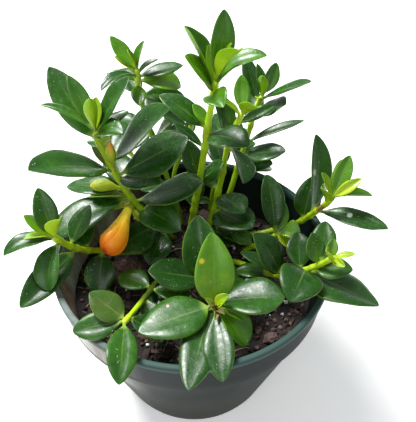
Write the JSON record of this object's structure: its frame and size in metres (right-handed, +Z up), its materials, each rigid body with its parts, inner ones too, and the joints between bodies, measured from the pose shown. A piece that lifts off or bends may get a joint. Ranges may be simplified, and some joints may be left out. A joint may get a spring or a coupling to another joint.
{
  "type": "goldfish plant",
  "caption": "Leafy flowering house plant in a tapered plastic nursery pot: arching stems with paired glossy leaves, a pouch-shaped orange flower and buds.",
  "frame": {"origin": "middle of the underside of the pot's base", "axes": "+Z up along the pot's axis; -Y is the front, where the flower and the lowest shoots are; +X is to the right seen from the front"},
  "size_m": [0.1954, 0.1936, 0.2207],
  "materials": {
    "pot_plastic": "satin grey-green moulded polypropylene",
    "soil_mix": "dark moist potting mix of peat and bark",
    "foliage": "thick waxy dark green leaves with a soft gloss",
    "stem": "succulent yellow-green stem, olive to red-brown low down",
    "corolla": "orange waxy petal tube, yellow at the neck",
    "bud": "yellow-green bud with an orange tip",
    "perlite": "white expanded perlite grains"
  },
  "bodies": {
    "root": {"pot": "pot_plastic", "soil": "soil_mix", "shoot_left_tall": "foliage", "shoot_left_trailing": "foliage", "shoot_centre_tall": "foliage", "shoot_back_left": "foliage", "shoot_inner_left": "foliage", "shoot_back_middle": "foliage", "shoot_back_right": "foliage", "shoot_right": "foliage", "shoot_right_inner": "foliage", "shoot_right_low": "foliage", "shoot_front": "foliage", "shoot_front_left": "foliage", "shoot_rear_left": "foliage", "shoot_rear_right": "foliage", "flower": "corolla", "flower_bud": "bud"}
  },
  "joints": []
}
